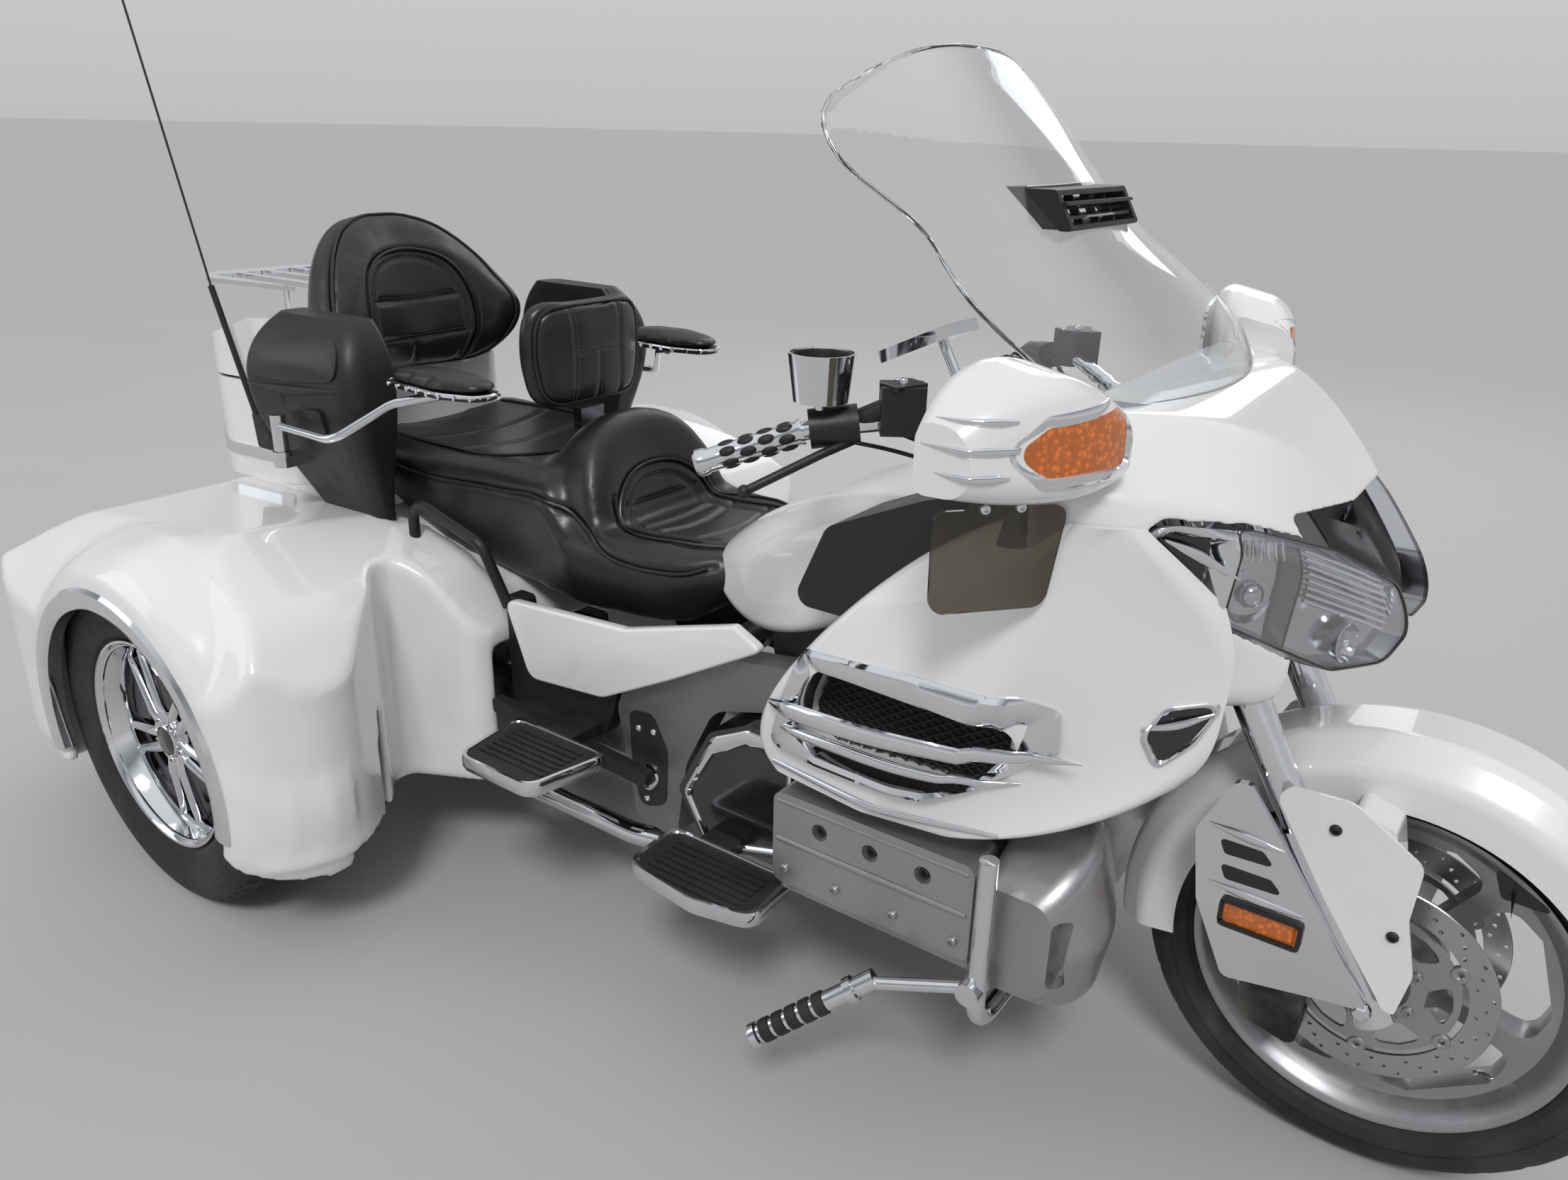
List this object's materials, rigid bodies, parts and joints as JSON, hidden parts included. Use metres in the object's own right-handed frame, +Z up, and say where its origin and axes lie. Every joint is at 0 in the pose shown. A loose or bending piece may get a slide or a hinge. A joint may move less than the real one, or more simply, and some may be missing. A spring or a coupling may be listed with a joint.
{
  "type": "three-wheeled touring motorcycle",
  "caption": "Touring motorcycle converted to three wheels, with a faired front, a steered wheel, seats with backrests, a luggage trunk and wide rear fenders.",
  "frame": {"origin": "on the ground below the middle of the vehicle", "axes": "+X forward, +Y to the left, +Z up"},
  "size_m": [2.873, 1.5432, 1.8006],
  "materials": {
    "white_paint": "gloss",
    "black_plastic": "satin",
    "chrome": "polished",
    "silver_cast": "satin",
    "grey_frame": "satin",
    "dark_metal": "matte",
    "disc_steel": "brushed",
    "rubber": "matte",
    "tyre": "matte",
    "leather": "grained",
    "clear_plastic": "gloss",
    "lamp_glass": "gloss",
    "amber": "gloss",
    "red_lens": "gloss",
    "smoked": "gloss",
    "mirror": "polished"
  },
  "bodies": {
    "chassis": {"antenna": "black_plastic", "belly_pan": "silver_cast", "bright_trims": "chrome", "crash_bars": "chrome", "cylinder_covers": "silver_cast", "dash": "black_plastic", "engine_block": "dark_metal", "engine_cowls": "silver_cast", "engine_side_panels": "black_plastic", "exhaust_pipes": "chrome", "floorboards": "rubber", "frame": "grey_frame", "grab_rails": "black_plastic", "head_lamps": "lamp_glass", "inner_panels": "black_plastic", "lower_fairings": "white_paint", "mirror_glass": "mirror", "mirror_lamps": "amber", "mirror_shells": "white_paint", "pad_brackets": "chrome", "rear_axle": "dark_metal", "rear_side_panels": "black_plastic", "rider_backrest": "leather", "seat": "leather", "side_covers": "white_paint", "side_pods": "black_plastic", "tail_lamps": "red_lens", "tank_shelter": "white_paint", "trike_body": "white_paint", "trunk_shell": "white_paint", "upper_fairing": "white_paint", "vent_meshes": "black_plastic", "vent_trims": "chrome", "wind_deflectors": "smoked", "windshield": "clear_plastic", "windshield_vent": "black_plastic"},
    "steering": {"fork": "chrome", "fork_guards": "chrome", "front_fender": "white_paint", "front_calipers": "dark_metal", "handlebar": "chrome", "grips": "rubber", "bar_controls": "black_plastic", "bar_fittings": "chrome"},
    "front_wheel": {"front_rim": "silver_cast", "front_tyre": "tyre", "front_discs": "disc_steel"},
    "rear_wheel_left": {"rear_rim_left": "chrome", "rear_tyre_left": "tyre"},
    "rear_wheel_right": {"rear_rim_right": "chrome", "rear_tyre_right": "tyre"},
    "trunk_lid": {"trunk_lid": "white_paint", "luggage_rack": "chrome", "passenger_backrest": "leather"},
    "boot_lid": {"boot_lid": "white_paint"},
    "armrest_left": {"armrest_arm_left": "chrome", "armrest_pad_left": "leather"},
    "armrest_right": {"armrest_arm_right": "chrome", "armrest_pad_right": "leather"}
  },
  "joints": [
    {"name": "steering", "type": "hinge", "parent": "chassis", "child": "steering", "pos_m": [0.79642, 0, 0.77291], "axis": [-0.4871, 0, 0.8733], "range_deg": [-30, 30]},
    {"name": "front_wheel_spin", "type": "hinge", "parent": "steering", "child": "front_wheel", "pos_m": [1.1185, 0, 0.318], "axis": [0, 1, 0], "continuous": true},
    {"name": "rear_wheel_left_spin", "type": "hinge", "parent": "chassis", "child": "rear_wheel_left", "pos_m": [-0.7695, 0.623, 0.314], "axis": [0, 1, 0], "continuous": true},
    {"name": "rear_wheel_right_spin", "type": "hinge", "parent": "chassis", "child": "rear_wheel_right", "pos_m": [-0.7695, -0.623, 0.314], "axis": [0, 1, 0], "continuous": true},
    {"name": "trunk_lid_hinge", "type": "hinge", "parent": "chassis", "child": "trunk_lid", "pos_m": [-0.9115, 0, 0.869], "axis": [0, 1, 0], "range_deg": [0, 35]},
    {"name": "boot_lid_hinge", "type": "hinge", "parent": "chassis", "child": "boot_lid", "pos_m": [-1.3875, 0, 0.432], "axis": [0, 1, 0], "range_deg": [0, 80]},
    {"name": "armrest_left_swivel", "type": "hinge", "parent": "chassis", "child": "armrest_left", "pos_m": [-0.7385, 0.415, 0.83], "axis": [0, 0, 1], "range_deg": [0, 70]},
    {"name": "armrest_right_swivel", "type": "hinge", "parent": "chassis", "child": "armrest_right", "pos_m": [-0.7385, -0.415, 0.83], "axis": [0, 0, 1], "range_deg": [-70, 0]}
  ]
}
